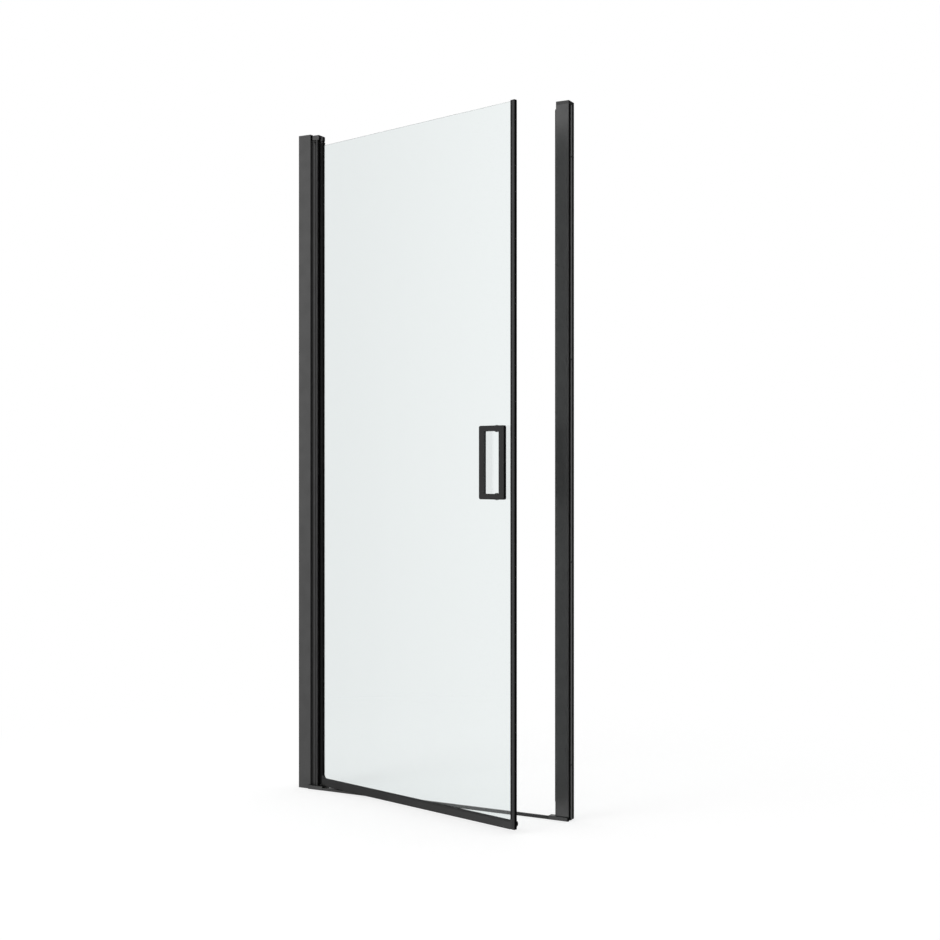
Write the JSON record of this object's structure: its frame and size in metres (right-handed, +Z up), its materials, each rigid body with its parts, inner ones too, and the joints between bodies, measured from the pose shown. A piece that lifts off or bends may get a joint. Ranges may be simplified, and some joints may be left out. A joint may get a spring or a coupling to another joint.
{
  "type": "pivot shower door",
  "caption": "Framed pivot shower door: a glass leaf on pins between two wall channels, with a threshold bar and a ring handle.",
  "frame": {"origin": "on the tray, at mid-width of the door, in the front plane of the wall channels", "axes": "+X along the doorway from the pivot side to the strike side, +Y into the shower, +Z up"},
  "size_m": [0.88, 0.2351, 1.95],
  "materials": {
    "frame_paint": "satin powder coat",
    "block_paint": "satin powder coat",
    "threshold_paint": "satin powder coat",
    "leaf_paint": "satin powder coat",
    "handle_paint": "satin powder coat",
    "moulded_cap": "fine moulded grain",
    "black_rubber": "smooth extruded",
    "magnet_strip": "matt",
    "inner_plastic": "moulded",
    "washer_plastic": "clear moulded",
    "steel": "turned",
    "dark_screw": "black oxide",
    "pane": "clear toughened glass"
  },
  "bodies": {
    "frame": {"wall_channel_left": "frame_paint", "wall_channel_right": "frame_paint", "channel_cap_left": "moulded_cap", "channel_cap_right": "moulded_cap", "pivot_post": "frame_paint", "post_seal": "black_rubber", "strike_post": "frame_paint", "strike_seal": "black_rubber", "strike_magnet": "magnet_strip", "top_pivot_block": "block_paint", "bottom_pivot_block": "block_paint", "top_pivot_pin": "steel", "bottom_pivot_pin": "steel", "block_screws": "dark_screw", "post_screws": "steel", "screw_covers": "moulded_cap", "threshold_bar": "threshold_paint", "threshold_end_block": "block_paint"},
    "door": {"door_glass": "pane", "hinge_stile": "leaf_paint", "closing_stile": "leaf_paint", "bottom_rail": "leaf_paint", "hinge_gasket": "black_rubber", "closing_gasket": "black_rubber", "rail_gasket": "black_rubber", "corner_covers": "moulded_cap", "hinge_stile_cap": "moulded_cap", "closing_stile_cap": "moulded_cap", "hinge_connector": "inner_plastic", "closing_connector": "inner_plastic", "connector_screws": "steel", "top_pivot_bush": "inner_plastic", "bottom_pivot_bush": "inner_plastic", "door_seal": "black_rubber", "door_magnet": "magnet_strip", "drip_seal": "black_rubber", "deflector_strip": "leaf_paint", "deflector_caps": "moulded_cap", "handle_ring": "handle_paint", "handle_posts": "handle_paint", "handle_washers": "washer_plastic", "handle_sleeves": "washer_plastic", "handle_caps": "handle_paint", "handle_screws": "steel"}
  },
  "joints": [
    {"name": "door_pivot", "type": "hinge", "parent": "frame", "child": "door", "pos_m": [-0.3655, 0.013, 0], "axis": [0, 0, -1], "range_deg": [-15, 75]}
  ]
}
